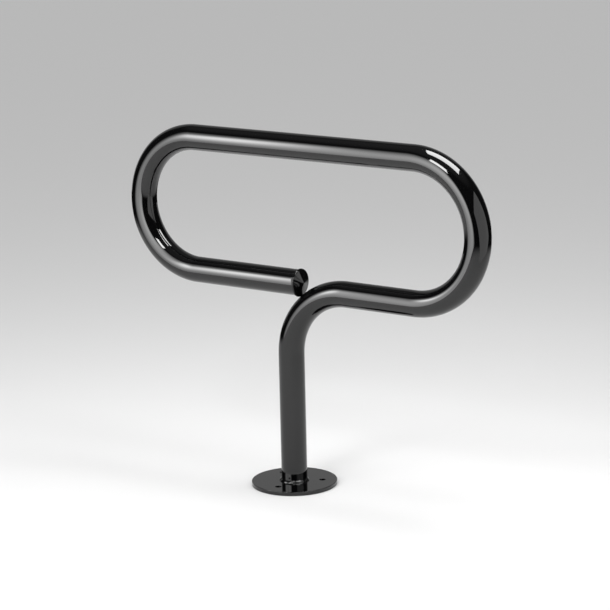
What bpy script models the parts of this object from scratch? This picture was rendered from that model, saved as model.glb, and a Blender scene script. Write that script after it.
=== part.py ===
"""Bike parking stand: one bent steel tube, welded to a round plate that is bolted to the floor.

The tube rises from the plate, turns to the right, and closes a long flat loop against which a
bicycle leans and to which it is locked.  Its free end stops just short of the post's own bend
and is closed by a pressed-in plug.  Lengths are in metres, +Z is up, +X runs along the loop,
and the origin is the middle of the plate's underside.
"""
import math

import bmesh
import bpy
from mathutils import Matrix, Vector

# Clearance between pieces that touch
SEAT_GAP = 0.0003

# Tube, and its centre line from the floor up to the free end
TUBE_DIAMETER = 0.050
TUBE_WALL = 0.003
BEND_START_HEIGHT = 0.259
POST_BEND_RADIUS = 0.130
RIGHT_ARM_LENGTH = 0.150
RIGHT_BEND_RADIUS = 0.1355
TOP_RAIL_LENGTH = 0.495
LEFT_BEND_RADIUS = 0.130
FREE_END_CLEARANCE = 0.0004

# Floor plate and its anchor holes
PLATE_THICKNESS = 0.008
PLATE_EDGE_ROUNDING = 0.0008
ANCHOR_CIRCLE_DIAMETER = 0.108
ANCHOR_HOLE_DIAMETER = 0.012
ANCHOR_HOLE_COUNT = 3
ANCHOR_RIM_MARGIN = 0.0285
FIRST_ANCHOR_ANGLE = math.radians(-90)

# Fillet weld round the tube's foot
WELD_LEG = 0.004
WELD_CROWN = 0.0006
WELD_RIPPLE_PITCH = 0.0065
WELD_RIPPLE_DEPTH = 0.0006

# Plug in the free end
PLUG_OVERHANG = 0.002
PLUG_RIM_ROUNDING = 0.0027
PLUG_FACE_SLOPE = math.radians(15.5)
PLUG_TIP_ROUNDING = 0.006
PLUG_SHANK_LENGTH = 0.024
PLUG_SHANK_WALL = 0.0025
PLUG_RIB_COUNT = 4
PLUG_RIB_HEIGHT = 0.0022
PLUG_RIB_THICKNESS = 0.0012

# Fineness of the faceted surfaces
TUBE_SIDES = 32
BEND_STEP = math.radians(7.5)
PLATE_SIDES = 72
HOLE_SIDES = 24
TURNED_SIDES = 40
STEPS_PER_RIPPLE = 6
WELD_PROFILE_STEPS = 5
TIP_STEPS = 3
RIM_STEPS = 9

# Finishes: linear colour and roughness
COATING_COLOUR = (0.010, 0.010, 0.011)
COATING_ROUGHNESS = 0.08
PLUG_COLOUR = (0.012, 0.012, 0.012)
PLUG_ROUGHNESS = 0.12

# Sizes that follow from those above
TUBE_RADIUS = TUBE_DIAMETER / 2
BORE_RADIUS = TUBE_RADIUS - TUBE_WALL
FOOT_HEIGHT = PLATE_THICKNESS + SEAT_GAP
RIGHT_ARM_HEIGHT = BEND_START_HEIGHT + POST_BEND_RADIUS
TOP_RAIL_HEIGHT = RIGHT_ARM_HEIGHT + 2 * RIGHT_BEND_RADIUS
LEFT_ARM_HEIGHT = TOP_RAIL_HEIGHT - 2 * LEFT_BEND_RADIUS
RIGHT_BEND_X = POST_BEND_RADIUS + RIGHT_ARM_LENGTH
LEFT_BEND_X = RIGHT_BEND_X - TOP_RAIL_LENGTH
PLUG_HEAD_RADIUS = TUBE_RADIUS + PLUG_OVERHANG
PLATE_RADIUS = ANCHOR_CIRCLE_DIAMETER / 2 + ANCHOR_RIM_MARGIN


def plug_head_profile():
    """Radius and height of the plug's head over its seat: tip, shallow cone and half-round rim."""
    tip_angles = [PLUG_FACE_SLOPE * (step + 1) / TIP_STEPS for step in range(TIP_STEPS)]
    tip = [(PLUG_TIP_ROUNDING * math.sin(angle), PLUG_TIP_ROUNDING * math.cos(angle)) for angle in tip_angles]
    rim_turn = math.pi - PLUG_FACE_SLOPE
    rim_angles = [PLUG_FACE_SLOPE + rim_turn * step / RIM_STEPS for step in range(RIM_STEPS + 1)]
    rim_centre = PLUG_HEAD_RADIUS - PLUG_RIM_ROUNDING
    rim = [(rim_centre + PLUG_RIM_ROUNDING * math.sin(angle),
            PLUG_RIM_ROUNDING * (1 + math.cos(angle))) for angle in rim_angles]
    cone_height = (rim[0][0] - tip[-1][0]) * math.tan(PLUG_FACE_SLOPE)
    lift = rim[0][1] + cone_height - tip[-1][1]
    return [(radius, height + lift) for radius, height in tip] + rim


def post_side_x(height):
    """X, at one height, of the side of the post and its bend that faces the plug, less the clearance."""
    reach = POST_BEND_RADIUS + TUBE_RADIUS + FREE_END_CLEARANCE
    rise = min(max(height - BEND_START_HEIGHT, 0.0), reach)
    return POST_BEND_RADIUS - math.sqrt(reach ** 2 - rise ** 2)


def plug_seat_x():
    """X of the head's flat back: as far towards the post's bend as the head's lower side allows."""
    return min(post_side_x(LEFT_ARM_HEIGHT - radius) - height for radius, height in plug_head_profile())


def clear_scene():
    """Empty the scene, whatever it held."""
    for old in list(bpy.data.objects):
        bpy.data.objects.remove(old, do_unlink=True)


def finish_material(name, colour, roughness):
    """A plain Principled finish."""
    material = bpy.data.materials.new(name)
    material.use_nodes = True
    shader = material.node_tree.nodes["Principled BSDF"]
    shader.inputs["Base Color"].default_value = (*colour, 1.0)
    shader.inputs["Roughness"].default_value = roughness
    shader.inputs["Metallic"].default_value = 0.0
    return material


def new_object(name, bm, material, location=(0, 0, 0)):
    """Close the mesh, face it outwards, shade it and put it in the scene."""
    bmesh.ops.remove_doubles(bm, verts=bm.verts, dist=1e-6)
    bmesh.ops.recalc_face_normals(bm, faces=bm.faces)
    mesh = bpy.data.meshes.new(name)
    bm.to_mesh(mesh)
    bm.free()
    mesh.shade_smooth()
    mesh.set_sharp_from_angle(angle=math.radians(35))
    mesh.materials.append(material)
    piece = bpy.data.objects.new(name, mesh)
    piece.location = location
    bpy.context.collection.objects.link(piece)
    return piece


def vertices_of(geometry):
    return [part for part in geometry if isinstance(part, bmesh.types.BMVert)]


def tube_section(bm):
    """The ring of faces between the tube's outside and its bore, level at the foot."""
    bmesh.ops.create_circle(
        bm, segments=TUBE_SIDES, radius=TUBE_RADIUS, matrix=Matrix.Translation((0, 0, FOOT_HEIGHT)))
    inset = bmesh.ops.extrude_edge_only(bm, edges=bm.edges[:])["geom"]
    share = BORE_RADIUS / TUBE_RADIUS
    bmesh.ops.scale(bm, verts=vertices_of(inset), vec=(share, share, 1))
    return bm.faces[:] + bm.edges[:] + bm.verts[:]


def push(bm, section, offset):
    """Extrude the section along an offset and return the section at its far end."""
    grown = bmesh.ops.extrude_face_region(bm, geom=section)["geom"]
    bmesh.ops.translate(bm, verts=vertices_of(grown), vec=offset)
    return grown


def swing(bm, section, centre, turn):
    """Spin the section about a level axis through centre; a positive turn leads from up to +X."""
    steps = max(1, round(abs(turn) / BEND_STEP))
    spun = bmesh.ops.spin(bm, geom=section, cent=centre, axis=(0, 1, 0), angle=turn, steps=steps)
    return spun["geom_last"]


def make_bent_tube():
    """The hollow tube, drawn as it is bent: straight runs and bends in turn from foot to free end."""
    bm = bmesh.new()
    section = tube_section(bm)
    section = push(bm, section, (0, 0, BEND_START_HEIGHT - FOOT_HEIGHT))
    section = swing(bm, section, (POST_BEND_RADIUS, 0, BEND_START_HEIGHT), math.radians(90))
    section = push(bm, section, (RIGHT_ARM_LENGTH, 0, 0))
    right_centre = (RIGHT_BEND_X, 0, RIGHT_ARM_HEIGHT + RIGHT_BEND_RADIUS)
    section = swing(bm, section, right_centre, math.radians(-180))
    section = push(bm, section, (-TOP_RAIL_LENGTH, 0, 0))
    left_centre = (LEFT_BEND_X, 0, LEFT_ARM_HEIGHT + LEFT_BEND_RADIUS)
    section = swing(bm, section, left_centre, math.radians(-180))
    left_arm_length = plug_seat_x() - SEAT_GAP - LEFT_BEND_X
    push(bm, section, (left_arm_length, 0, 0))
    coating = finish_material("tube_coating", COATING_COLOUR, COATING_ROUGHNESS)
    return new_object("bent_tube", bm, coating)


def turned_wall(bm, profile, sides):
    """Spin an open profile of (radius, height) points once round Z and return its two end rings."""
    points = [bm.verts.new((radius, 0, height)) for radius, height in profile]
    wires = [bm.edges.new(pair) for pair in zip(points, points[1:])]
    bmesh.ops.spin(bm, geom=points + wires, cent=(0, 0, 0), axis=(0, 0, 1),
                   angle=math.tau, steps=sides, use_merge=True)
    bmesh.ops.remove_doubles(bm, verts=bm.verts, dist=1e-6)
    return [edge for edge in bm.edges if edge.is_boundary]


def make_base_plate():
    """The round plate, with rounded edges and three plain holes for floor anchors."""
    bm = bmesh.new()
    bmesh.ops.create_cone(
        bm, cap_ends=True, segments=PLATE_SIDES, radius1=PLATE_RADIUS, radius2=PLATE_RADIUS,
        depth=PLATE_THICKNESS, matrix=Matrix.Translation((0, 0, PLATE_THICKNESS / 2)))
    coating = finish_material("plate_coating", COATING_COLOUR, COATING_ROUGHNESS)
    plate = new_object("base_plate", bm, coating)
    rounding = plate.modifiers.new("edge_rounding", "BEVEL")
    rounding.width = min(PLATE_EDGE_ROUNDING, 0.4 * PLATE_THICKNESS)
    rounding.segments = 2
    rounding.limit_method = "ANGLE"
    rounding.angle_limit = math.radians(60)
    for index in range(ANCHOR_HOLE_COUNT):
        angle = FIRST_ANCHOR_ANGLE + index * math.tau / ANCHOR_HOLE_COUNT
        drill = make_drill(f"anchor_drill_{index + 1}", angle)
        drill.parent = plate
        hole = plate.modifiers.new(f"anchor_hole_{index + 1}", "BOOLEAN")
        hole.operation = "DIFFERENCE"
        hole.solver = "EXACT"
        hole.object = drill
    return plate


def make_drill(name, angle):
    """A cutter that passes right through the plate at one anchor hole."""
    bm = bmesh.new()
    bmesh.ops.create_cone(
        bm, cap_ends=True, segments=HOLE_SIDES, radius1=ANCHOR_HOLE_DIAMETER / 2,
        radius2=ANCHOR_HOLE_DIAMETER / 2, depth=3 * PLATE_THICKNESS)
    mesh = bpy.data.meshes.new(name)
    bm.to_mesh(mesh)
    bm.free()
    drill = bpy.data.objects.new(name, mesh)
    reach = ANCHOR_CIRCLE_DIAMETER / 2
    drill.location = (reach * math.cos(angle), reach * math.sin(angle), PLATE_THICKNESS / 2)
    drill.hide_render = True
    drill.display_type = "WIRE"
    bpy.context.collection.objects.link(drill)
    return drill


def weld_profile():
    """Closed section of the bead: two legs, joined by a face that bulges by the crown height."""
    inner = TUBE_RADIUS + SEAT_GAP
    section = [Vector((inner, FOOT_HEIGHT))]
    for step in range(WELD_PROFILE_STEPS + 1):
        share = step / WELD_PROFILE_STEPS
        bulge = WELD_CROWN * math.sin(math.pi * share) / math.sqrt(2)
        section.append(Vector((inner + WELD_LEG * (1 - share) + bulge,
                               FOOT_HEIGHT + WELD_LEG * share + bulge)))
    return section


def make_base_weld():
    """The fillet bead, with the shallow ripples that a hand weld leaves along its face."""
    ripples = max(8, round(math.tau * TUBE_RADIUS / WELD_RIPPLE_PITCH))
    sides = ripples * STEPS_PER_RIPPLE
    section = weld_profile()
    corner = section[0]
    bm = bmesh.new()
    rings = []
    for side in range(sides):
        angle = side * math.tau / sides
        swell = 0.5 * WELD_RIPPLE_DEPTH * (math.cos(ripples * angle) - 1)
        ring = []
        for point in section:
            reach = (point - corner).length
            scale = 1 + swell / WELD_LEG if reach > 0 else 1
            radius, height = corner + (point - corner) * scale
            ring.append(bm.verts.new((radius * math.cos(angle), radius * math.sin(angle), height)))
        rings.append(ring)
    for ring, following in zip(rings, rings[1:] + rings[:1]):
        for index in range(len(section)):
            beyond = (index + 1) % len(section)
            bm.faces.new((ring[index], ring[beyond], following[beyond], following[index]))
    coating = finish_material("weld_coating", COATING_COLOUR, COATING_ROUGHNESS)
    return new_object("base_weld", bm, coating)


def plug_profile():
    """Section of the whole plug from the tip of its head to the bottom of its hollow shank."""
    rib_radius = BORE_RADIUS - SEAT_GAP
    core_radius = rib_radius - PLUG_RIB_HEIGHT
    pitch = (PLUG_SHANK_LENGTH - PLUG_RIB_THICKNESS) / PLUG_RIB_COUNT
    profile = plug_head_profile() + [(core_radius, 0)]
    for index in range(PLUG_RIB_COUNT):
        top = -(index + 0.5) * pitch
        profile += [(core_radius, top), (rib_radius, top),
                    (rib_radius, top - PLUG_RIB_THICKNESS / 2), (core_radius, top - PLUG_RIB_THICKNESS)]
    cup_radius = core_radius - PLUG_SHANK_WALL
    profile += [(core_radius, -PLUG_SHANK_LENGTH), (cup_radius, -PLUG_SHANK_LENGTH), (cup_radius, 0)]
    return profile


def make_end_plug():
    """The plug: a shallow conical head over the tube's end and a hollow shank with flexing ribs."""
    bm = bmesh.new()
    rims = turned_wall(bm, plug_profile(), TURNED_SIDES)
    bmesh.ops.edgeloop_fill(bm, edges=rims)
    turn = Matrix.Rotation(math.radians(90), 4, "Y")
    bmesh.ops.transform(bm, matrix=turn, verts=bm.verts)
    plastic = finish_material("plug_plastic", PLUG_COLOUR, PLUG_ROUGHNESS)
    return new_object("end_plug", bm, plastic, (plug_seat_x(), 0, LEFT_ARM_HEIGHT))


def main():
    clear_scene()
    make_base_plate()
    make_base_weld()
    make_bent_tube()
    make_end_plug()


main()
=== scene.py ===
"""Bike parking stand in a plain studio: one bent black tube on a round floor plate.

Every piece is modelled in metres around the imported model, from the sizes in the panel, and each
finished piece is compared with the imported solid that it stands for.
"""
import math
from collections import namedtuple

import bpy
from mathutils import Matrix, Vector


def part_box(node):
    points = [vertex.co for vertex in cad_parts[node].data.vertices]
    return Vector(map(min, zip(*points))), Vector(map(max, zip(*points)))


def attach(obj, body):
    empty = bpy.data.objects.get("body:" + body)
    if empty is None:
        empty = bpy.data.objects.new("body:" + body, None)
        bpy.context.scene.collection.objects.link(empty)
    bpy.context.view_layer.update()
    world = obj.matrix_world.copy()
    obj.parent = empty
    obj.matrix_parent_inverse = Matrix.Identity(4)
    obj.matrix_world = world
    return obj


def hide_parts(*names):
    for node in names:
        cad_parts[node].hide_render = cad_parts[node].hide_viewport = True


bl_info = {
    "name": "Bike parking stand",
    "version": (1, 0, 0),
    "blender": (4, 5, 0),
    "location": "View3D > Sidebar > Bike Stand",
    "description": "Models a bike parking stand bent from one tube, its finishes and a studio",
    "category": "Add Mesh",
}

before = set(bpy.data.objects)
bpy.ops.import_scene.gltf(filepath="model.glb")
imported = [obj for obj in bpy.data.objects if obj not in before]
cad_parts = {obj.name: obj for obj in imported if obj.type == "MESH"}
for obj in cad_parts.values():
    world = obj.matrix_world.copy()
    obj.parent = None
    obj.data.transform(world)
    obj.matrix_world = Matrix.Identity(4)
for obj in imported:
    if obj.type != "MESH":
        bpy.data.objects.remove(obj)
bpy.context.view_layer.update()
PLATE_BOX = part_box("base_plate")

SIZE_TOLERANCE = 0.0006
MERGE_DISTANCE = 0.00001
SMOOTH_ANGLE = math.radians(35)
SHARP_ANGLE = math.radians(60)
FLAT_FACE_WEIGHT = 90
QUARTER_TURN = math.radians(90)
HALF_TURN = math.radians(180)


# Sizes and finishes that a user would change

def length(name, description, default):
    """A property that holds a length in metres."""
    return bpy.props.FloatProperty(
        name=name, description=description, default=default, min=0.0, precision=4,
        subtype="DISTANCE", unit="LENGTH")


def finish_colour(name, description, default):
    """A property that holds a linear colour."""
    return bpy.props.FloatVectorProperty(
        name=name, description=description, default=default, size=3, min=0.0, max=1.0,
        subtype="COLOR")


def share(name, description, default):
    """A property that holds a plain factor."""
    return bpy.props.FloatProperty(
        name=name, description=description, default=default, min=0.0, soft_max=1.0,
        precision=4, subtype="FACTOR")


def count(name, description, default, lowest):
    """A property that holds a whole number."""
    return bpy.props.IntProperty(name=name, description=description, default=default, min=lowest)


class StandSizes(bpy.types.PropertyGroup):
    """Sizes of the tube, the plate, the weld and the plug."""
    seat_gap: length("Seat gap", "Clearance between pieces that touch", 0.0003)
    tube_diameter: length("Tube diameter", "Outside diameter of the tube", 0.050)
    tube_wall: length("Tube wall", "Wall thickness of the tube", 0.003)
    bend_start: length("Bend start", "Height at which the post starts to bend", 0.259)
    post_bend: length("Post bend", "Centre line radius of the post's bend", 0.130)
    right_arm: length("Right arm", "Straight length between the post's bend and the right bend", 0.150)
    right_bend: length("Right bend", "Centre line radius of the right bend", 0.1355)
    top_rail: length("Top rail", "Straight length of the top rail", 0.495)
    left_bend: length("Left bend", "Centre line radius of the left bend", 0.130)
    plate_diameter: length(
        "Plate diameter", "Diameter of the floor plate", PLATE_BOX[1].x - PLATE_BOX[0].x)
    plate_thickness: length("Plate thickness", "Thickness of the floor plate", PLATE_BOX[1].z)
    plate_rounding: length("Plate rounding", "Rounding of the plate's edges", 0.0008)
    hole_circle: length("Hole circle", "Diameter of the circle of anchor holes", 0.108)
    hole_diameter: length("Hole diameter", "Diameter of each anchor hole", 0.012)
    hole_rounding: length("Hole rounding", "Rounding of the holes' rims under the coating", 0.00035)
    hole_count: count("Holes", "Number of anchor holes", 3, 1)
    weld_leg: length("Weld leg", "Width of the weld bead on the plate and on the tube", 0.0040)
    weld_crown: length("Weld crown", "How far the bead bulges past a flat fillet", 0.00035)
    weld_pitch: length("Weld pitch", "Distance between the ripples of the weld", 0.0065)
    plug_overhang: length("Plug overhang", "How far the plug's head stands out past the tube", 0.002)
    plug_rim: length("Plug rim", "Radius of the head's half-round rim", 0.0027)
    plug_slope: bpy.props.FloatProperty(
        name="Plug slope", description="Slope of the head's shallow conical face",
        default=math.radians(15.5), min=math.radians(1), max=math.radians(60),
        subtype="ANGLE", unit="ROTATION")
    plug_tip: length("Plug tip", "Radius of the rounding at the cone's tip", 0.006)
    plug_shank: length("Plug shank", "Length of the plug's shank inside the tube", 0.024)
    plug_wall: length("Plug wall", "Wall thickness of the hollow shank", 0.0025)
    rib_height: length("Rib height", "Height of the ribs on the shank", 0.0022)
    rib_thickness: length("Rib thickness", "Thickness of a rib at its root", 0.0012)
    rib_count: count("Ribs", "Number of ribs on the shank", 4, 1)


class StandFinish(bpy.types.PropertyGroup):
    """Colours and gloss of the stand, and the colour of the floor."""
    coat_colour: finish_colour("Coat colour", "Colour of the powder coat", (0.0012, 0.0012, 0.0013))
    coat_roughness: share("Coat roughness", "Roughness of the powder coat", 0.045)
    plug_colour: finish_colour("Plug colour", "Colour of the plug's plastic", (0.0015, 0.0015, 0.0015))
    plug_roughness: share("Plug roughness", "Roughness of the plug's plastic", 0.08)
    floor_colour: finish_colour("Floor colour", "Colour of the studio floor", (0.66, 0.66, 0.66))


# Modelling helpers

def end_editing():
    if bpy.context.mode != "OBJECT":
        bpy.ops.object.mode_set(mode="OBJECT")


def deselect_everything():
    end_editing()
    bpy.ops.object.select_all(action="DESELECT")


def pick(piece):
    """Select one object alone and make it the active one."""
    deselect_everything()
    piece.select_set(True)
    bpy.context.view_layer.objects.active = piece


def edit(piece):
    """Enter edit mode on one piece with nothing selected in it."""
    pick(piece)
    bpy.ops.object.mode_set(mode="EDIT")
    bpy.ops.mesh.select_mode(type="VERT")
    bpy.ops.mesh.select_all(action="DESELECT")


def settle(piece):
    """Move the piece's place, turn and scale into its mesh."""
    pick(piece)
    bpy.ops.object.transform_apply(location=True, rotation=True, scale=True)


def apply_modifier(piece, name, kind, **values):
    """Add one modifier, set it and apply it."""
    pick(piece)
    modifier = piece.modifiers.new(name, kind)
    for key, value in values.items():
        setattr(modifier, key, value)
    bpy.ops.object.modifier_apply(modifier=modifier.name)


def drill_round(piece, sides, radius, depth, place):
    """Cut an upright cylinder about a place out of the piece."""
    deselect_everything()
    bpy.ops.mesh.primitive_cylinder_add(vertices=sides, radius=radius, depth=depth, location=place)
    cutter = bpy.context.object
    apply_modifier(piece, "cut", "BOOLEAN", operation="DIFFERENCE", solver="EXACT", object=cutter)
    bpy.data.objects.remove(cutter, do_unlink=True)


def break_edges(piece, width, segments):
    """Round the piece's sharp edges by a small width."""
    edit(piece)
    bpy.ops.mesh.select_mode(type="EDGE")
    bpy.ops.mesh.edges_select_sharp(sharpness=SHARP_ANGLE)
    bpy.ops.mesh.bevel(offset=width, segments=segments, affect="EDGES")


def smooth(piece):
    pick(piece)
    bpy.ops.object.shade_smooth_by_angle(angle=SMOOTH_ANGLE)


def keep_faces_flat(piece):
    """Shade the broad faces as flat, so that only the narrow ones between them look round."""
    apply_modifier(
        piece, "flat_faces", "WEIGHTED_NORMAL", weight=FLAT_FACE_WEIGHT, keep_sharp=True)


def hand_over(piece, node, material):
    """Give the finished piece its material, body and slot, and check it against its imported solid."""
    piece.data.materials.clear()
    piece.data.materials.append(material)
    low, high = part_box(node)
    corners = [Vector(corner) for corner in piece.bound_box]
    for axis in range(3):
        below = min(corner[axis] for corner in corners) - low[axis]
        above = max(corner[axis] for corner in corners) - high[axis]
        if max(abs(below), abs(above)) > SIZE_TOLERANCE:
            raise RuntimeError(f"{piece.name} differs from {node} on axis {axis}: {below:.5f}, {above:.5f}")
    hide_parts(node)
    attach(piece, "root")


# Helpers for shader nodes

def add_node(tree, kind, inputs=None, **settings):
    """A node with its settings and its inputs, each input a value or another node's socket."""
    node = tree.nodes.new(kind)
    for key, value in settings.items():
        setattr(node, key, value)
    for key, value in (inputs or {}).items():
        if isinstance(value, bpy.types.NodeSocket):
            tree.links.new(value, node.inputs[key])
        else:
            node.inputs[key].default_value = value
    return node


def multiply(tree, first, second):
    """The product of two values."""
    return add_node(tree, "ShaderNodeMath", {0: first, 1: second}, operation="MULTIPLY").outputs[0]


def multiply_add(tree, first, second, third):
    """The product of two values, plus a third."""
    return add_node(
        tree, "ShaderNodeMath", {0: first, 1: second, 2: third}, operation="MULTIPLY_ADD").outputs[0]


def slide(tree, value, start, end, at_start=0.0, at_end=1.0, course="SMOOTHSTEP"):
    """A value that goes from one level to another while its input goes from start to end."""
    return add_node(tree, "ShaderNodeMapRange", {
        "Value": value, "From Min": start, "From Max": end, "To Min": at_start, "To Max": at_end},
        interpolation_type=course).outputs[0]


def mix_colours(tree, factor, first, second):
    """A colour between two; the colours are sockets 6 and 7 of the node, and the result is output 2."""
    node = add_node(
        tree, "ShaderNodeMix", {"Factor": factor, 6: first, 7: second}, data_type="RGBA")
    return node.outputs[2]


def mix_shaders(tree, factor, first, second):
    """A shader between two others."""
    return add_node(tree, "ShaderNodeMixShader", {0: factor, 1: first, 2: second}).outputs[0]


def effect_group(name, inputs, outputs):
    """An empty shader node group with named sockets, or None if it is there already."""
    if name in bpy.data.node_groups:
        return None
    group = bpy.data.node_groups.new(name, "ShaderNodeTree")
    for label, socket, default in inputs:
        made = group.interface.new_socket(name=label, in_out="INPUT", socket_type=socket)
        if default is not None:
            made.default_value = default
    for label, socket in outputs:
        group.interface.new_socket(name=label, in_out="OUTPUT", socket_type=socket)
    group.nodes.new("NodeGroupInput")
    group.nodes.new("NodeGroupOutput")
    return group


def group_ends(group):
    """The input node's sockets and the output node's sockets of a group."""
    start = next(node for node in group.nodes if node.bl_idname == "NodeGroupInput")
    end = next(node for node in group.nodes if node.bl_idname == "NodeGroupOutput")
    return start.outputs, end.inputs


# Effects that the finishes share; the first two values set the broad waves against the fine ones

BROAD_CELLS = 0.22
BROAD_WEIGHT = 2.2
DUST_COLOUR = (0.42, 0.41, 0.40, 1.0)
DUST_ROUGHNESS = 0.5
COLOUR_DRIFT = 0.2
COAT_IOR = 1.56
PLASTIC_IOR = 1.50


def orange_peel_group():
    """The gentle unevenness of a sprayed and baked or moulded surface, as a height in metres."""
    name = "orange_peel"
    group = effect_group(
        name,
        [("Vector", "NodeSocketVector", None), ("Cells per metre", "NodeSocketFloat", 300.0),
         ("Depth", "NodeSocketFloat", 0.00001)],
        [("Height", "NodeSocketFloat")])
    if group is None:
        return bpy.data.node_groups[name]
    start, end = group_ends(group)
    fine = add_node(group, "ShaderNodeTexNoise", {
        "Vector": start["Vector"], "Scale": start["Cells per metre"], "Detail": 1.0, "Roughness": 0.4})
    broad_scale = multiply(group, start["Cells per metre"], BROAD_CELLS)
    broad = add_node(group, "ShaderNodeTexNoise", {
        "Vector": start["Vector"], "Scale": broad_scale, "Detail": 0.0})
    both = multiply_add(group, broad.outputs["Fac"], BROAD_WEIGHT, fine.outputs["Fac"])
    height = multiply(group, both, start["Depth"])
    group.links.new(height, end["Height"])
    return group


def haze_group():
    """Roughness that drifts a little over the surface in soft clouds."""
    name = "surface_haze"
    group = effect_group(
        name,
        [("Vector", "NodeSocketVector", None), ("Roughness", "NodeSocketFloat", 0.05),
         ("Spread", "NodeSocketFloat", 0.02)],
        [("Roughness", "NodeSocketFloat")])
    if group is None:
        return bpy.data.node_groups[name]
    start, end = group_ends(group)
    clouds = add_node(group, "ShaderNodeTexNoise", {
        "Vector": start["Vector"], "Scale": 28.0, "Detail": 4.0, "Roughness": 0.55})
    raised = slide(group, clouds.outputs["Fac"], start=0.35, end=0.75)
    total = multiply_add(group, raised, start["Spread"], start["Roughness"])
    group.links.new(total, end["Roughness"])
    return group


def dust_group():
    """Sparse specks of dust that settle on what faces up, as a mask and as a colour."""
    name = "settled_dust"
    group = effect_group(
        name,
        [("Vector", "NodeSocketVector", None), ("Colour", "NodeSocketColor", (0.01, 0.01, 0.01, 1.0)),
         ("Specks per metre", "NodeSocketFloat", 160.0), ("Amount", "NodeSocketFloat", 0.06)],
        [("Colour", "NodeSocketColor"), ("Mask", "NodeSocketFloat")])
    if group is None:
        return bpy.data.node_groups[name]
    start, end = group_ends(group)
    cells = add_node(group, "ShaderNodeTexVoronoi", {
        "Vector": start["Vector"], "Scale": start["Specks per metre"], "Randomness": 1.0})
    specks = slide(group, cells.outputs["Distance"], start=0.05, end=0.02, course="LINEAR")
    patches = add_node(group, "ShaderNodeTexNoise", {
        "Vector": start["Vector"], "Scale": 35.0, "Detail": 2.0})
    rare = slide(group, patches.outputs["Fac"], start=0.55, end=0.70, course="LINEAR")
    facing = add_node(group, "ShaderNodeNewGeometry")
    upward = add_node(group, "ShaderNodeSeparateXYZ", {0: facing.outputs["Normal"]})
    lying = slide(group, upward.outputs["Z"], start=0.3, end=0.95, course="LINEAR")
    scattered = multiply(group, specks, rare)
    settled = multiply(group, scattered, lying)
    mask = multiply(group, settled, start["Amount"])
    dusty = mix_colours(group, mask, start["Colour"], DUST_COLOUR)
    group.links.new(dusty, end["Colour"])
    group.links.new(mask, end["Mask"])
    return group


def gloss_material(name, colour, roughness, ior, peel, depth, haze, dust):
    """A smooth dark finish: its own colour and gloss, with the shared peel, haze and dust."""
    material = bpy.data.materials.new(name)
    material.use_nodes = True
    tree = material.node_tree
    shader = tree.nodes["Principled BSDF"]
    place = add_node(tree, "ShaderNodeTexCoord").outputs["Object"]
    drift = add_node(tree, "ShaderNodeTexNoise", {"Vector": place, "Scale": 9.0, "Detail": 3.0})
    darker = (*((1 - COLOUR_DRIFT) * part for part in colour), 1.0)
    lighter = (*((1 + COLOUR_DRIFT) * part for part in colour), 1.0)
    deep = mix_colours(tree, drift.outputs["Fac"], darker, lighter)
    dusty = add_node(tree, "ShaderNodeGroup", {}, node_tree=dust_group())
    tree.links.new(place, dusty.inputs["Vector"])
    tree.links.new(deep, dusty.inputs["Colour"])
    dusty.inputs["Amount"].default_value = dust
    hazy = add_node(tree, "ShaderNodeGroup", {}, node_tree=haze_group())
    tree.links.new(place, hazy.inputs["Vector"])
    hazy.inputs["Roughness"].default_value = roughness
    hazy.inputs["Spread"].default_value = haze
    rough = multiply_add(tree, dusty.outputs["Mask"], DUST_ROUGHNESS, hazy.outputs["Roughness"])
    uneven = add_node(tree, "ShaderNodeGroup", {}, node_tree=orange_peel_group())
    tree.links.new(place, uneven.inputs["Vector"])
    uneven.inputs["Cells per metre"].default_value = peel
    uneven.inputs["Depth"].default_value = depth
    bump = add_node(tree, "ShaderNodeBump", {
        "Strength": 1.0, "Distance": 1.0, "Height": uneven.outputs["Height"]})
    tree.links.new(dusty.outputs["Colour"], shader.inputs["Base Color"])
    tree.links.new(rough, shader.inputs["Roughness"])
    tree.links.new(bump.outputs["Normal"], shader.inputs["Normal"])
    shader.inputs["IOR"].default_value = ior
    return material


def coat_material(name, finish, peel=330.0, depth=0.0000035):
    """The gloss powder coat, with a peel that suits the piece's size."""
    return gloss_material(
        name, finish.coat_colour, finish.coat_roughness, ior=COAT_IOR, peel=peel, depth=depth,
        haze=0.018, dust=0.05)


# The pieces

def plug_seat(sizes):
    """X of the flat back of the plug's head, just past the tube's free end."""
    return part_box("end_plug")[0].x + sizes.plug_shank


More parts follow.
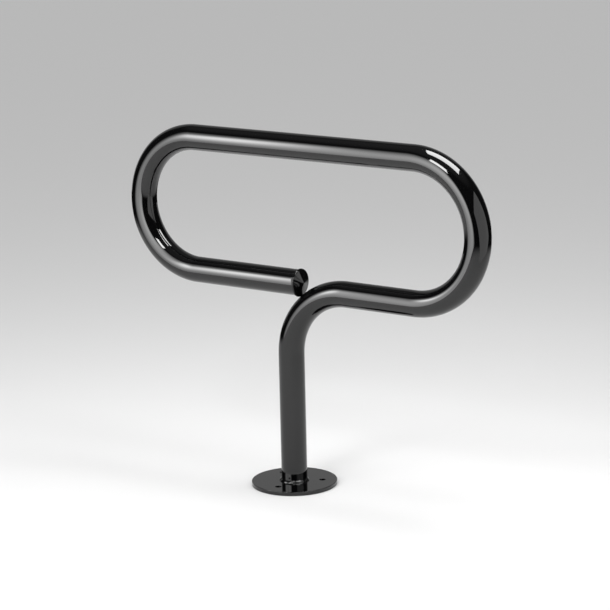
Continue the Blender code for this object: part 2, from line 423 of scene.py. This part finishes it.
class STAND_OT_bent_tube(bpy.types.Operator):
    """Bend the hollow tube from its foot on the plate to its free end"""
    bl_idname = "stand.bent_tube"
    bl_label = "Bent tube"
    bl_options = {"REGISTER", "UNDO"}

    sides: count("Sides", "Sides of the tube's section", 112, 12)
    bend_steps: count("Bend steps", "Steps in a quarter turn", 60, 6)
    end_step: length("End step", "Length of the short step at each end of a straight run", 0.0015)
    end_rounding: length("End rounding", "Rounding of the edges at the tube's ends", 0.0003)

    def execute(self, context):
        sizes = context.scene.stand_sizes
        radius = sizes.tube_diameter / 2
        foot = sizes.plate_thickness + sizes.seat_gap
        right_arm_height = sizes.bend_start + sizes.post_bend
        rail_height = right_arm_height + 2 * sizes.right_bend
        right_bend_x = sizes.post_bend + sizes.right_arm
        left_bend_x = right_bend_x - sizes.top_rail
        free_end = plug_seat(sizes) - sizes.seat_gap
        deselect_everything()
        bpy.ops.mesh.primitive_circle_add(
            vertices=self.sides, radius=radius, fill_type="NOTHING", location=(0, 0, foot))
        tube = context.object
        tube.name = "loop_tube"
        settle(tube)
        edit(tube)
        bpy.ops.mesh.select_all(action="SELECT")
        self.run(Vector((0, 0, sizes.bend_start - foot)))
        self.bend((sizes.post_bend, 0, sizes.bend_start), QUARTER_TURN)
        self.run(Vector((sizes.right_arm, 0, 0)))
        self.bend((right_bend_x, 0, right_arm_height + sizes.right_bend), -HALF_TURN)
        self.run(Vector((-sizes.top_rail, 0, 0)))
        self.bend((left_bend_x, 0, rail_height - sizes.left_bend), -HALF_TURN)
        self.run(Vector((free_end - left_bend_x, 0, 0)))
        bpy.ops.mesh.select_all(action="SELECT")
        bpy.ops.mesh.remove_doubles(threshold=MERGE_DISTANCE)
        bpy.ops.mesh.normals_make_consistent(inside=False)
        apply_modifier(
            tube, "wall", "SOLIDIFY", thickness=sizes.tube_wall, offset=-1.0, use_even_offset=True)
        break_edges(tube, self.end_rounding, segments=2)
        smooth(tube)
        coat = coat_material("tube_powder_coat", context.scene.stand_finish)
        hand_over(tube, "bent_tube", coat)
        return {"FINISHED"}

    def run(self, offset):
        """Extrude the open end along a straight run; a short step at each end keeps it straight."""
        step = self.end_step * offset.normalized()
        for part in (step, offset - 2 * step, step):
            bpy.ops.mesh.extrude_region_move(TRANSFORM_OT_translate={"value": part})

    def bend(self, centre, turn):
        """Spin the open end round a level axis; a positive turn leads from up to +X."""
        steps = round(self.bend_steps * abs(turn) / QUARTER_TURN)
        bpy.ops.mesh.spin(steps=steps, angle=-turn, center=centre, axis=(0, 1, 0))


class STAND_OT_base_plate(bpy.types.Operator):
    """Turn the round floor plate, round its edges and drill its anchor holes"""
    bl_idname = "stand.base_plate"
    bl_label = "Floor plate"
    bl_options = {"REGISTER", "UNDO"}

    sides: count("Sides", "Sides of the plate's outline", 192, 12)
    hole_sides: count("Hole sides", "Sides of each anchor hole", 64, 8)

    def execute(self, context):
        sizes = context.scene.stand_sizes
        thickness = sizes.plate_thickness
        reach = sizes.hole_circle / 2
        deselect_everything()
        bpy.ops.mesh.primitive_cylinder_add(
            vertices=self.sides, radius=sizes.plate_diameter / 2, depth=thickness,
            location=(0, 0, thickness / 2))
        plate = context.object
        plate.name = "floor_plate"
        settle(plate)
        break_edges(plate, sizes.plate_rounding, segments=4)
        for index in range(sizes.hole_count):
            angle = -QUARTER_TURN + index * math.tau / sizes.hole_count
            place = (reach * math.cos(angle), reach * math.sin(angle), thickness / 2)
            drill_round(plate, self.hole_sides, sizes.hole_diameter / 2, 3 * thickness, place)
        break_edges(plate, sizes.hole_rounding, segments=3)
        smooth(plate)
        keep_faces_flat(plate)
        coat = coat_material("plate_powder_coat", context.scene.stand_finish)
        hand_over(plate, "base_plate", coat)
        return {"FINISHED"}


# How the weld's ripples wander, as shares of their spacing, drift and length and as phases per ripple

SPACING_WANDER = 0.22
SPACING_PHASE = 2.4
DRIFT_PHASE = 1.7
LIFT_SHARE = 0.5
LIFT_PHASE = 2.9
RIPPLE_LENGTH = 1.1
LENGTH_WANDER = 0.4
LENGTH_PHASE = 1.3
LENGTH_START = 2.8


class STAND_OT_base_weld(bpy.types.Operator):
    """Lay the fillet weld round the tube's foot, one overlapping ripple after another"""
    bl_idname = "stand.base_weld"
    bl_label = "Foot weld"
    bl_options = {"REGISTER", "UNDO"}

    drift: length("Drift", "How far the ripples wander in and out", 0.00035)
    lean: share("Lean", "Share by which the bead stands taller and reaches less far out", 0.07)
    cell: length("Cell", "Edge of the cells in which the ripples are fused", 0.00026)
    sides: count("Sides", "Sides of a ripple's round outline", 112, 12)
    cut_sides: count("Cut sides", "Sides of the round cuts along the tube and the plate", 192, 12)

    def execute(self, context):
        sizes = context.scene.stand_sizes
        inner = sizes.tube_diameter / 2 + sizes.seat_gap
        floor = sizes.plate_thickness + sizes.seat_gap
        ripples = round(math.pi * sizes.tube_diameter / sizes.weld_pitch)
        ripple = self.first_ripple(sizes, inner, floor)
        copies = [ripple]
        for index in range(1, ripples):
            copies.append(self.next_ripple(context, ripple, index, ripples))
        for copy in copies:
            copy.select_set(True)
        context.view_layer.objects.active = ripple
        bpy.ops.object.join()
        settle(ripple)
        apply_modifier(
            ripple, "fuse", "REMESH", mode="VOXEL", voxel_size=self.cell, use_smooth_shade=True)
        apply_modifier(ripple, "flow", "SMOOTH", factor=0.5, iterations=3)
        apply_modifier(ripple, "split", "TRIANGULATE")
        depth = 6 * sizes.weld_leg
        drill_round(ripple, self.cut_sides, inner, depth, (0, 0, floor))
        drill_round(ripple, self.cut_sides, 2 * inner, depth, (0, 0, floor - depth / 2))
        smooth(ripple)
        coat = coat_material("weld_powder_coat", context.scene.stand_finish, peel=900.0, depth=0.000004)
        hand_over(ripple, "base_weld", coat)
        return {"FINISHED"}

    def first_ripple(self, sizes, inner, floor):
        """A ball through both toes of the bead and over its crown, then leaned towards the tube."""
        peak = sizes.weld_leg / math.sqrt(2) + sizes.weld_crown
        sink = (sizes.weld_leg ** 2 - peak ** 2) / (2 * (math.sqrt(2) * peak - sizes.weld_leg))
        radius = peak + math.sqrt(2) * sink
        wide = 1 - self.lean
        tall = 1 + self.lean
        deselect_everything()
        bpy.ops.mesh.primitive_uv_sphere_add(
            segments=self.sides, ring_count=self.sides // 2, radius=1.0)
        ripple = bpy.context.object
        ripple.name = "foot_weld"
        edit(ripple)
        bpy.ops.mesh.select_all(action="SELECT")
        bpy.ops.transform.resize(value=(wide * radius, radius, tall * radius))
        bpy.ops.transform.translate(value=(inner - wide * sink, 0, floor - tall * sink))
        deselect_everything()
        return ripple

    def next_ripple(self, context, ripple, index, ripples):
        """A copy of the first ripple further round the tube, a little off its even place and length."""
        copy = ripple.copy()
        copy.data = ripple.data.copy()
        context.collection.objects.link(copy)
        turn = (index + SPACING_WANDER * math.sin(SPACING_PHASE * index)) * math.tau / ripples
        out = self.drift * math.sin(DRIFT_PHASE * index)
        lift = LIFT_SHARE * self.drift * math.cos(LIFT_PHASE * index)
        copy.rotation_euler.z = turn
        copy.location = (out * math.cos(turn), out * math.sin(turn), lift)
        copy.scale.y = RIPPLE_LENGTH + LENGTH_WANDER * math.cos(LENGTH_PHASE * index + LENGTH_START)
        return copy


class STAND_OT_end_plug(bpy.types.Operator):
    """Mould the plug for the free end: a shallow conical head and a hollow shank with ribs"""
    bl_idname = "stand.end_plug"
    bl_label = "End plug"
    bl_options = {"REGISTER", "UNDO"}

    sides: count("Sides", "Sides of the plug's round outline", 128, 12)
    tip_steps: count("Tip steps", "Rings of the rounded tip", 6, 2)
    rim_steps: count("Rim steps", "Steps round the half-round rim", 20, 4)
    end_step: length("End step", "Length of the short step at each end of the conical face", 0.0006)

    def execute(self, context):
        sizes = context.scene.stand_sizes
        finish = context.scene.stand_finish
        low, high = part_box("end_plug")
        bore = sizes.tube_diameter / 2 - sizes.tube_wall
        rib_radius = bore - sizes.seat_gap
        core_radius = rib_radius - sizes.rib_height
        head = self.head_profile(sizes)
        deselect_everything()
        bpy.ops.mesh.primitive_circle_add(vertices=self.sides, radius=head[0][0], fill_type="NGON")
        plug = context.object
        plug.name = "tube_plug"
        edit(plug)
        bpy.ops.mesh.select_all(action="SELECT")
        bpy.ops.transform.translate(value=(0, 0, head[0][1]))
        for (radius, height), (wider, lower) in zip(head, head[1:]):
            self.push_end(height - lower)
            self.scale_end(wider / radius, extrude=False)
        self.scale_end(core_radius / head[-1][0], extrude=True)
        pitch = (sizes.plug_shank - sizes.rib_thickness) / sizes.rib_count
        depth = 0.0
        for index in range(sizes.rib_count):
            top = (index + 0.5) * pitch
            self.push_end(top - depth)
            self.scale_end(rib_radius / core_radius, extrude=True)
            self.push_end(sizes.rib_thickness / 2)
            self.push_end(sizes.rib_thickness / 2)
            self.scale_end(core_radius / rib_radius, extrude=False)
            depth = top + sizes.rib_thickness
        self.push_end(sizes.plug_shank - depth)
        self.scale_end((core_radius - sizes.plug_wall) / core_radius, extrude=True)
        self.push_end(-sizes.plug_shank)
        bpy.ops.mesh.select_all(action="SELECT")
        bpy.ops.mesh.normals_make_consistent(inside=False)
        deselect_everything()
        plug.rotation_euler.y = QUARTER_TURN
        plug.location = (plug_seat(sizes), 0, (low.z + high.z) / 2)
        settle(plug)
        smooth(plug)
        keep_faces_flat(plug)
        plastic = gloss_material(
            "plug_plastic", finish.plug_colour, finish.plug_roughness, ior=PLASTIC_IOR, peel=700.0,
            depth=0.000002, haze=0.03, dust=0.05)
        hand_over(plug, "end_plug", plastic)
        return {"FINISHED"}

    def head_profile(self, sizes):
        """Radius and height over the seat of the head's rings: rounded tip, cone, half-round rim."""
        slope = sizes.plug_slope
        reach = sizes.tube_diameter / 2 + sizes.plug_overhang - sizes.plug_rim
        rim = []
        for index in range(self.rim_steps + 1):
            turn = slope + (HALF_TURN - slope) * index / self.rim_steps
            rim.append((reach + sizes.plug_rim * math.sin(turn), sizes.plug_rim * (1 + math.cos(turn))))
        tip = []
        for index in range(self.tip_steps):
            turn = slope * (index + 1) / self.tip_steps
            tip.append((sizes.plug_tip * math.sin(turn), sizes.plug_tip * math.cos(turn)))
        fall = math.tan(slope)
        lift = rim[0][1] + (rim[0][0] - tip[-1][0]) * fall - tip[-1][1]
        tip = [(radius, height + lift) for radius, height in tip]
        near_tip = (tip[-1][0] + self.end_step, tip[-1][1] - self.end_step * fall)
        near_rim = (rim[0][0] - self.end_step, rim[0][1] + self.end_step * fall)
        return tip + [near_tip, near_rim] + rim

    def push_end(self, distance):
        """Extrude the selected end face along the shank."""
        bpy.ops.mesh.extrude_region_move(TRANSFORM_OT_translate={"value": (0, 0, -distance)})

    def scale_end(self, factor, extrude):
        """Scale the selected end face about the axis, after an extrusion in place if asked."""
        if extrude:
            bpy.ops.mesh.extrude_region_move(TRANSFORM_OT_translate={"value": (0, 0, 0)})
        bpy.ops.transform.resize(value=(factor, factor, 1))


# The studio

VIEW_AZIMUTH = math.radians(35.07)
VIEW_ELEVATION = math.radians(13.26)
VIEW_ROLL = math.radians(-1.30)
VIEW_DISTANCE = 4.6975
VIEW_PIVOT = Vector((0.0350, 0.0, 0.3571))
VIEW_AIM = Vector((0.0342, -0.0005, 0.3580))
VIEW_LENS = 146.63
VIEW_REACH = 100.0
SENSOR_WIDTH = 36.0

FLOOR_RADIUS = 30.0
FLOOR_SIDES = 96
# Painted shade: the dark colour mirrors see on the floor past the pool of light, and that pool's radius and
# soft edge
FLOOR_FAR_PAINTED_SHADE = (0.015, 0.015, 0.015, 1.0)
POOL_RADIUS = 1.8
POOL_EDGE = 0.4
LAMP_AIM = Vector((0.0, 0.0, 0.3))

# What lies round the stand: grey to the camera, even light to matt faces, and to mirrors dark with
# a lighter part overhead, which starts and ends at these heights of the ray's direction

BACKDROP_GREY = 0.54
AMBIENT_STRENGTH = 0.91
MIRRORED_LOW = 0.03
MIRRORED_HIGH = 0.17
OVERHEAD_START = 0.66
OVERHEAD_END = 0.86

# A spot is a soft round brightening of a card's glow, and a fade changes the glow along an axis

Spot = namedtuple("Spot", "x y width height gain")
Fade = namedtuple("Fade", "axis start end at_start at_end")

KEY_GLOW = 1.366
KEY_SPOTS = (
    Spot(x=0.536, y=-0.161, width=0.155, height=0.366, gain=7.9),
    Spot(x=-0.564, y=-0.533, width=0.823, height=0.659, gain=3.98))
KEY_FADES = (
    Fade(axis="X", start=-1.324, end=-0.75, at_start=0.0, at_end=1.0),
    Fade(axis="X", start=1.324, end=0.80, at_start=0.0, at_end=1.0),
    Fade(axis="Y", start=-1.5, end=-1.37, at_start=0.0, at_end=1.0),
    Fade(axis="Y", start=1.5, end=0.62, at_start=0.0, at_end=1.0))
BACKDROP_FADE = Fade(axis="Y", start=-1.9, end=1.9, at_start=0.45, at_end=0.22)


def direction(azimuth, elevation):
    """Unit vector; azimuth 0 is +Y and 90 degrees is +X."""
    level = math.cos(elevation)
    return Vector((math.sin(azimuth) * level, math.cos(azimuth) * level, math.sin(elevation)))


def placement(place, back, roll):
    """The matrix of a thing at a place whose +Z points back, with its +X level before the roll."""
    side = Vector((0, 0, 1)).cross(back).normalized()
    up = back.cross(side)
    turned = math.cos(roll) * side + math.sin(roll) * up
    upright = math.cos(roll) * up - math.sin(roll) * side
    return Matrix((
        (turned.x, upright.x, back.x, place[0]),
        (turned.y, upright.y, back.y, place[1]),
        (turned.z, upright.z, back.z, place[2]),
        (0, 0, 0, 1)))


def glow_material(name, strength, spots=(), fades=()):
    """Light from one side only: an even glow with its spots and fades."""
    material = bpy.data.materials.new(name)
    material.use_nodes = True
    tree = material.node_tree
    tree.nodes.clear()
    place = add_node(tree, "ShaderNodeTexCoord").outputs["Object"]
    even = add_node(tree, "ShaderNodeValue")
    even.outputs[0].default_value = strength
    level = even.outputs[0]
    for spot in spots:
        centre = (spot.x, spot.y, 0.0)
        shrink = (1 / spot.width, 1 / spot.height, 0.0)
        moved = add_node(tree, "ShaderNodeVectorMath", {0: place, 1: centre}, operation="SUBTRACT")
        shrunk = add_node(
            tree, "ShaderNodeVectorMath", {0: moved.outputs[0], 1: shrink}, operation="MULTIPLY")
        squared = add_node(
            tree, "ShaderNodeVectorMath", {0: shrunk.outputs[0], 1: shrunk.outputs[0]},
            operation="DOT_PRODUCT")
        halved = multiply(tree, squared.outputs["Value"], -0.5)
        bell = add_node(tree, "ShaderNodeMath", {0: halved}, operation="EXPONENT")
        level = multiply_add(tree, bell.outputs[0], spot.gain * strength, level)
    parts = add_node(tree, "ShaderNodeSeparateXYZ", {0: place}).outputs
    for fade in fades:
        kept = slide(tree, parts[fade.axis], fade.start, fade.end, fade.at_start, fade.at_end)
        level = multiply(tree, level, kept)
    glow = add_node(tree, "ShaderNodeEmission", {"Strength": level})
    clear = add_node(tree, "ShaderNodeBsdfTransparent")
    behind = add_node(tree, "ShaderNodeNewGeometry").outputs["Backfacing"]
    out = add_node(tree, "ShaderNodeOutputMaterial")
    tree.links.new(mix_shaders(tree, behind, glow.outputs[0], clear.outputs[0]), out.inputs["Surface"])
    return material


def floor_material(colour):
    """A plain pale matt floor; past the pool of light, mirrors see it painted dark as painted shade."""
    material = bpy.data.materials.new("pale_floor")
    material.use_nodes = True
    tree = material.node_tree
    tree.nodes.clear()
    place = add_node(tree, "ShaderNodeTexCoord").outputs["Object"]
    reach = add_node(tree, "ShaderNodeVectorMath", {0: place}, operation="LENGTH")
    grain = add_node(tree, "ShaderNodeTexNoise", {"Vector": place, "Scale": 220.0, "Detail": 3.0})
    bump = add_node(tree, "ShaderNodeBump", {
        "Strength": 0.05, "Distance": 0.001, "Height": grain.outputs["Fac"]})
    matt = add_node(tree, "ShaderNodeBsdfDiffuse", {"Color": (*colour, 1.0), "Normal": bump.outputs[0]})
    # Painted shade: to mirrors, the floor past the pool of light turns this dark colour, standing in for
    # floor out of the light
    dark = add_node(tree, "ShaderNodeBsdfDiffuse", {"Color": FLOOR_FAR_PAINTED_SHADE})
    far = slide(tree, reach.outputs["Value"], POOL_RADIUS - POOL_EDGE, POOL_RADIUS + POOL_EDGE)
    mirrored = add_node(tree, "ShaderNodeLightPath").outputs["Is Glossy Ray"]
    painted_shade_share = multiply(tree, far, mirrored)
    out = add_node(tree, "ShaderNodeOutputMaterial")
    tree.links.new(mix_shaders(tree, painted_shade_share, matt.outputs[0], dark.outputs[0]), out.inputs["Surface"])
    return material


def light_card(name, material, centre, azimuth, elevation, roll, width, height, lights_matt=False):
    """A flat glowing card that faces back along a direction, with its angles in degrees.

    Mirrors see every card, matt faces only one that lights them, and the camera none.
    """
    deselect_everything()
    bpy.ops.mesh.primitive_plane_add(size=1.0)
    card = bpy.context.object
    card.name = name
    card.scale = (width, height, 1.0)
    pick(card)
    bpy.ops.object.transform_apply(location=False, rotation=False, scale=True)
    facing = direction(math.radians(azimuth), math.radians(elevation))
    card.matrix_world = placement(centre, -facing, math.radians(roll))
    card.data.materials.append(material)
    card.visible_camera = False
    card.visible_diffuse = lights_matt
    card.visible_shadow = False


def soft_lamp(name, place, width, height, power):
    """A lamp that lights the floor and casts a faint shadow, unseen by mirrors."""
    deselect_everything()
    bpy.ops.object.light_add(type="AREA", location=place)
    lamp = bpy.context.object
    lamp.name = name
    lamp.data.shape = "RECTANGLE"
    lamp.data.size = width
    lamp.data.size_y = height
    lamp.data.energy = power
    lamp.rotation_euler = (Vector(place) - LAMP_AIM).to_track_quat("Z", "Y").to_euler()
    lamp.visible_glossy = False


class STAND_OT_studio(bpy.types.Operator):
    """Set up the pale floor, the soft lights, the surroundings and the camera"""
    bl_idname = "stand.studio"
    bl_label = "Studio"
    bl_options = {"REGISTER", "UNDO"}

    def execute(self, context):
        self.lay_floor(context)
        self.hang_cards()
        self.light_floor()
        self.paint_world(context.scene)
        self.place_camera(context)
        context.scene.view_settings.view_transform = "Standard"
        return {"FINISHED"}

    def lay_floor(self, context):
        deselect_everything()
        bpy.ops.mesh.primitive_circle_add(vertices=FLOOR_SIDES, radius=FLOOR_RADIUS, fill_type="NGON")
        floor = context.object
        floor.name = "studio_floor"
        floor.data.materials.append(floor_material(context.scene.stand_finish.floor_colour))

    def hang_cards(self):
        """Glowing cards for the coat to mirror."""
        light_card(
            "key_scrim", glow_material("key_glow", KEY_GLOW, KEY_SPOTS, KEY_FADES),
            centre=(-0.799, -1.770, 1.267), azimuth=214.3, elevation=-15.2, roll=-2.0,
            width=2.65, height=3.0)
        light_card(
            "front_softbox", glow_material("front_glow", strength=18.0),
            centre=(0.124, -1.514, 1.780), azimuth=183.5, elevation=46.4, roll=17.0,
            width=0.54, height=0.50, lights_matt=True)
        light_card(
            "top_softbox", glow_material("softbox_glow", strength=14.0),
            centre=(0.380, 0.115, 1.592), azimuth=82.0, elevation=62.5, roll=-2.0,
            width=0.60, height=0.79)
        light_card(
            "side_card", glow_material("side_glow", strength=1.15),
            centre=(1.324, 0.094, 0.515), azimuth=114.9, elevation=0.0, roll=-30.7,
            width=1.53, height=1.41)
        light_card(
            "fill_card", glow_material("fill_glow", strength=1.3),
            centre=(0.39, 0.27, 0.42), azimuth=53.0, elevation=2.0, roll=0.0,
            width=0.12, height=0.17)
        light_card(
            "backdrop_card", glow_material("backdrop_glow", strength=1.0, fades=[BACKDROP_FADE]),
            centre=(-1.85, 2.65, 1.9), azimuth=325.0, elevation=0.0, roll=0.0,
            width=5.6, height=3.8)

    def light_floor(self):
        """Soft lamps near the key, top and side cards."""
        soft_lamp("key_lamp", place=(-0.74, -2.10, 1.35), width=1.6, height=1.1, power=26.0)
        soft_lamp("top_lamp", place=(0.38, 0.12, 1.59), width=0.79, height=0.60, power=14.0)
        soft_lamp("side_lamp", place=(1.32, 0.09, 0.90), width=1.4, height=0.8, power=2.5)

    def paint_world(self, scene):
        """Surroundings that the camera, matt faces and mirrors each see in their own way."""
        world = bpy.data.worlds.new("studio_surroundings")
        scene.world = world
        world.use_nodes = True
        tree = world.node_tree
        tree.nodes.clear()
        place = add_node(tree, "ShaderNodeTexCoord").outputs["Generated"]
        height = add_node(tree, "ShaderNodeSeparateXYZ", {0: place}).outputs["Z"]
        overhead = slide(tree, height, OVERHEAD_START, OVERHEAD_END, MIRRORED_LOW, MIRRORED_HIGH)
        mirrored = add_node(tree, "ShaderNodeBackground", {"Strength": overhead})
        ambient = add_node(tree, "ShaderNodeBackground", {"Strength": AMBIENT_STRENGTH})
        seen = add_node(tree, "ShaderNodeBackground", {
            "Color": (BACKDROP_GREY, BACKDROP_GREY, BACKDROP_GREY, 1.0), "Strength": 1.0})
        path = add_node(tree, "ShaderNodeLightPath").outputs
        unseen = mix_shaders(tree, path["Is Glossy Ray"], ambient.outputs[0], mirrored.outputs[0])
        out = add_node(tree, "ShaderNodeOutputWorld")
        tree.links.new(
            mix_shaders(tree, path["Is Camera Ray"], unseen, seen.outputs[0]), out.inputs["Surface"])

    def place_camera(self, context):
        """The camera at the photograph's angle, distance and roll."""
        deselect_everything()
        level = math.cos(VIEW_ELEVATION)
        away = Vector((
            math.sin(VIEW_AZIMUTH) * level, -math.cos(VIEW_AZIMUTH) * level, math.sin(VIEW_ELEVATION)))
        spot = VIEW_PIVOT + VIEW_DISTANCE * away
        bpy.ops.object.camera_add(location=spot)
        camera = context.object
        camera.name = "photo_camera"
        camera.matrix_world = placement(spot, (spot - VIEW_AIM).normalized(), VIEW_ROLL)
        camera.data.sensor_width = SENSOR_WIDTH
        camera.data.lens = VIEW_LENS
        camera.data.clip_end = VIEW_REACH
        context.scene.camera = camera


# The panel and the order of work

class STAND_PT_panel(bpy.types.Panel):
    """Sizes, finishes and the pieces of the stand"""
    bl_label = "Bike parking stand"
    bl_idname = "STAND_PT_panel"
    bl_space_type = "VIEW_3D"
    bl_region_type = "UI"
    bl_category = "Bike Stand"

    def draw(self, context):
        column = self.layout.column(align=True)
        for operator in PIECES + STAGE:
            column.operator(operator.bl_idname)
        for group in (context.scene.stand_sizes, context.scene.stand_finish):
            column.separator()
            for name in group.__annotations__:
                column.prop(group, name)


PIECES = (STAND_OT_base_plate, STAND_OT_base_weld, STAND_OT_bent_tube, STAND_OT_end_plug)
STAGE = (STAND_OT_studio,)
CLASSES = (StandSizes, StandFinish, *PIECES, *STAGE, STAND_PT_panel)


def register():
    for cls in CLASSES:
        bpy.utils.register_class(cls)
    bpy.types.Scene.stand_sizes = bpy.props.PointerProperty(type=StandSizes)
    bpy.types.Scene.stand_finish = bpy.props.PointerProperty(type=StandFinish)


def unregister():
    del bpy.types.Scene.stand_finish
    del bpy.types.Scene.stand_sizes
    for cls in reversed(CLASSES):
        bpy.utils.unregister_class(cls)


def main():
    register()
    bpy.ops.stand.base_plate()
    bpy.ops.stand.base_weld()
    bpy.ops.stand.bent_tube()
    bpy.ops.stand.end_plug()
    bpy.ops.stand.studio()


if __name__ == "__main__":
    main()
